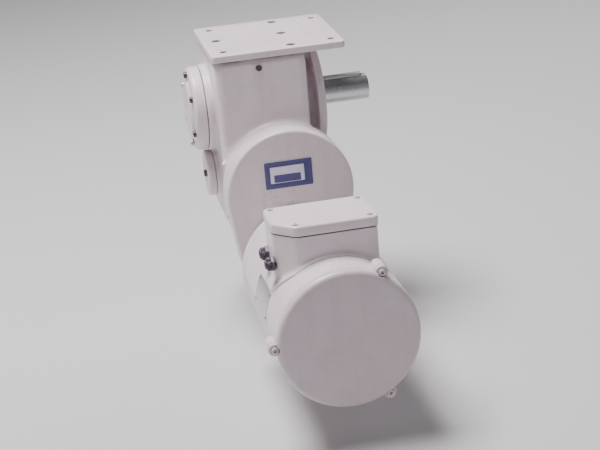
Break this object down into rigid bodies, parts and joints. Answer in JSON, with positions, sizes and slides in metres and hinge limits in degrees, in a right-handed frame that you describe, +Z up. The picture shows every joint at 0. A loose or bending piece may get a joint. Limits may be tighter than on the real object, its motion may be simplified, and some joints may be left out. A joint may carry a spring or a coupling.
{
  "type": "right-angle gearmotor",
  "caption": "Right-angle gearmotor hung from a top plate: smooth closed motor with a terminal box, arched first-stage case, gear case, output flange and keyed shaft.",
  "frame": {"origin": "centre of the top face of the mounting plate, over the middle of the gear case", "axes": "+Z up out of the mounting face, +X along the output shaft, motor axis along Y with its free end towards -Y"},
  "size_m": [0.2818, 0.6365, 0.3878],
  "materials": {
    "white_paint": "smooth satin white enamel",
    "bright_steel": "ground",
    "gear_steel": "hardened and oiled",
    "zinc_plate": "zinc plated",
    "brass": "turned",
    "laminations": "stacked sheet steel",
    "copper_winding": "varnished copper wire",
    "black_rubber": "moulded",
    "dark_plastic": "moulded",
    "board_plastic": "moulded phenolic",
    "label_face": "printed plate with a blue border and no text"
  },
  "bodies": {
    "root": {"breather_plug": "brass", "cable_gland_1": "dark_plastic", "cable_gland_2": "dark_plastic", "cover_screw_1": "zinc_plate", "cover_screw_2": "zinc_plate", "cover_screw_3": "zinc_plate", "cover_screw_4": "zinc_plate", "cover_screw_5": "zinc_plate", "cover_screw_6": "zinc_plate", "cross_bearing_cap": "white_paint", "cross_bearing_left": "bright_steel", "cross_bearing_plug": "white_paint", "cross_bearing_right": "bright_steel", "drain_plug": "zinc_plate", "end_cover": "white_paint", "end_screw_1": "zinc_plate", "end_screw_2": "zinc_plate", "end_screw_3": "zinc_plate", "first_stage_case": "white_paint", "gear_case": "white_paint", "label_plate": "label_face", "lid_screw_1": "zinc_plate", "lid_screw_2": "zinc_plate", "lid_screw_3": "zinc_plate", "lid_screw_4": "zinc_plate", "motor_bearing_drive": "bright_steel", "motor_bearing_rear": "bright_steel", "motor_flange": "white_paint", "motor_frame": "white_paint", "motor_shaft_seal": "black_rubber", "mounting_plate": "white_paint", "oil_level_plug": "zinc_plate", "output_bearing_cover": "white_paint", "output_bearing_left": "bright_steel", "output_bearing_right": "bright_steel", "output_flange": "white_paint", "output_seal": "black_rubber", "pinion_bearing_front": "bright_steel", "pinion_bearing_rear": "bright_steel", "rear_cover": "white_paint", "rear_cover_gasket": "black_rubber", "stator_core": "laminations", "terminal_board": "board_plastic", "terminal_box": "white_paint", "terminal_box_gasket": "black_rubber", "terminal_box_lid": "white_paint", "winding_end_drive": "copper_winding", "winding_end_rear": "copper_winding"},
    "output": {"output_shaft": "bright_steel", "output_key": "bright_steel", "output_gear": "gear_steel"},
    "cross": {"cross_shaft": "bright_steel", "final_pinion": "gear_steel", "bevel_gear": "gear_steel"},
    "pinion": {"pinion_shaft": "bright_steel", "bevel_pinion": "gear_steel", "input_gear": "gear_steel"},
    "rotor": {"rotor_shaft": "bright_steel", "rotor_core": "laminations", "motor_pinion": "gear_steel"}
  },
  "joints": [
    {"name": "rotor_turn", "type": "hinge", "parent": "root", "child": "rotor", "pos_m": [0.02, -0.3, -0.292], "axis": [0, 1, 0], "continuous": true},
    {"name": "pinion_turn", "type": "hinge", "parent": "root", "child": "pinion", "pos_m": [0.02, -0.08, -0.205], "axis": [0, 1, 0], "continuous": true},
    {"name": "cross_turn", "type": "hinge", "parent": "root", "child": "cross", "pos_m": [0, 0, -0.205], "axis": [1, 0, 0], "continuous": true},
    {"name": "output_turn", "type": "hinge", "parent": "root", "child": "output", "pos_m": [0, 0, -0.1], "axis": [1, 0, 0], "continuous": true}
  ],
  "couplings": [
    {"joint": "pinion_turn", "follows": "rotor_turn", "ratio": -0.24286},
    {"joint": "cross_turn", "follows": "rotor_turn", "ratio": 0.097143},
    {"joint": "output_turn", "follows": "rotor_turn", "ratio": -0.03447}
  ]
}
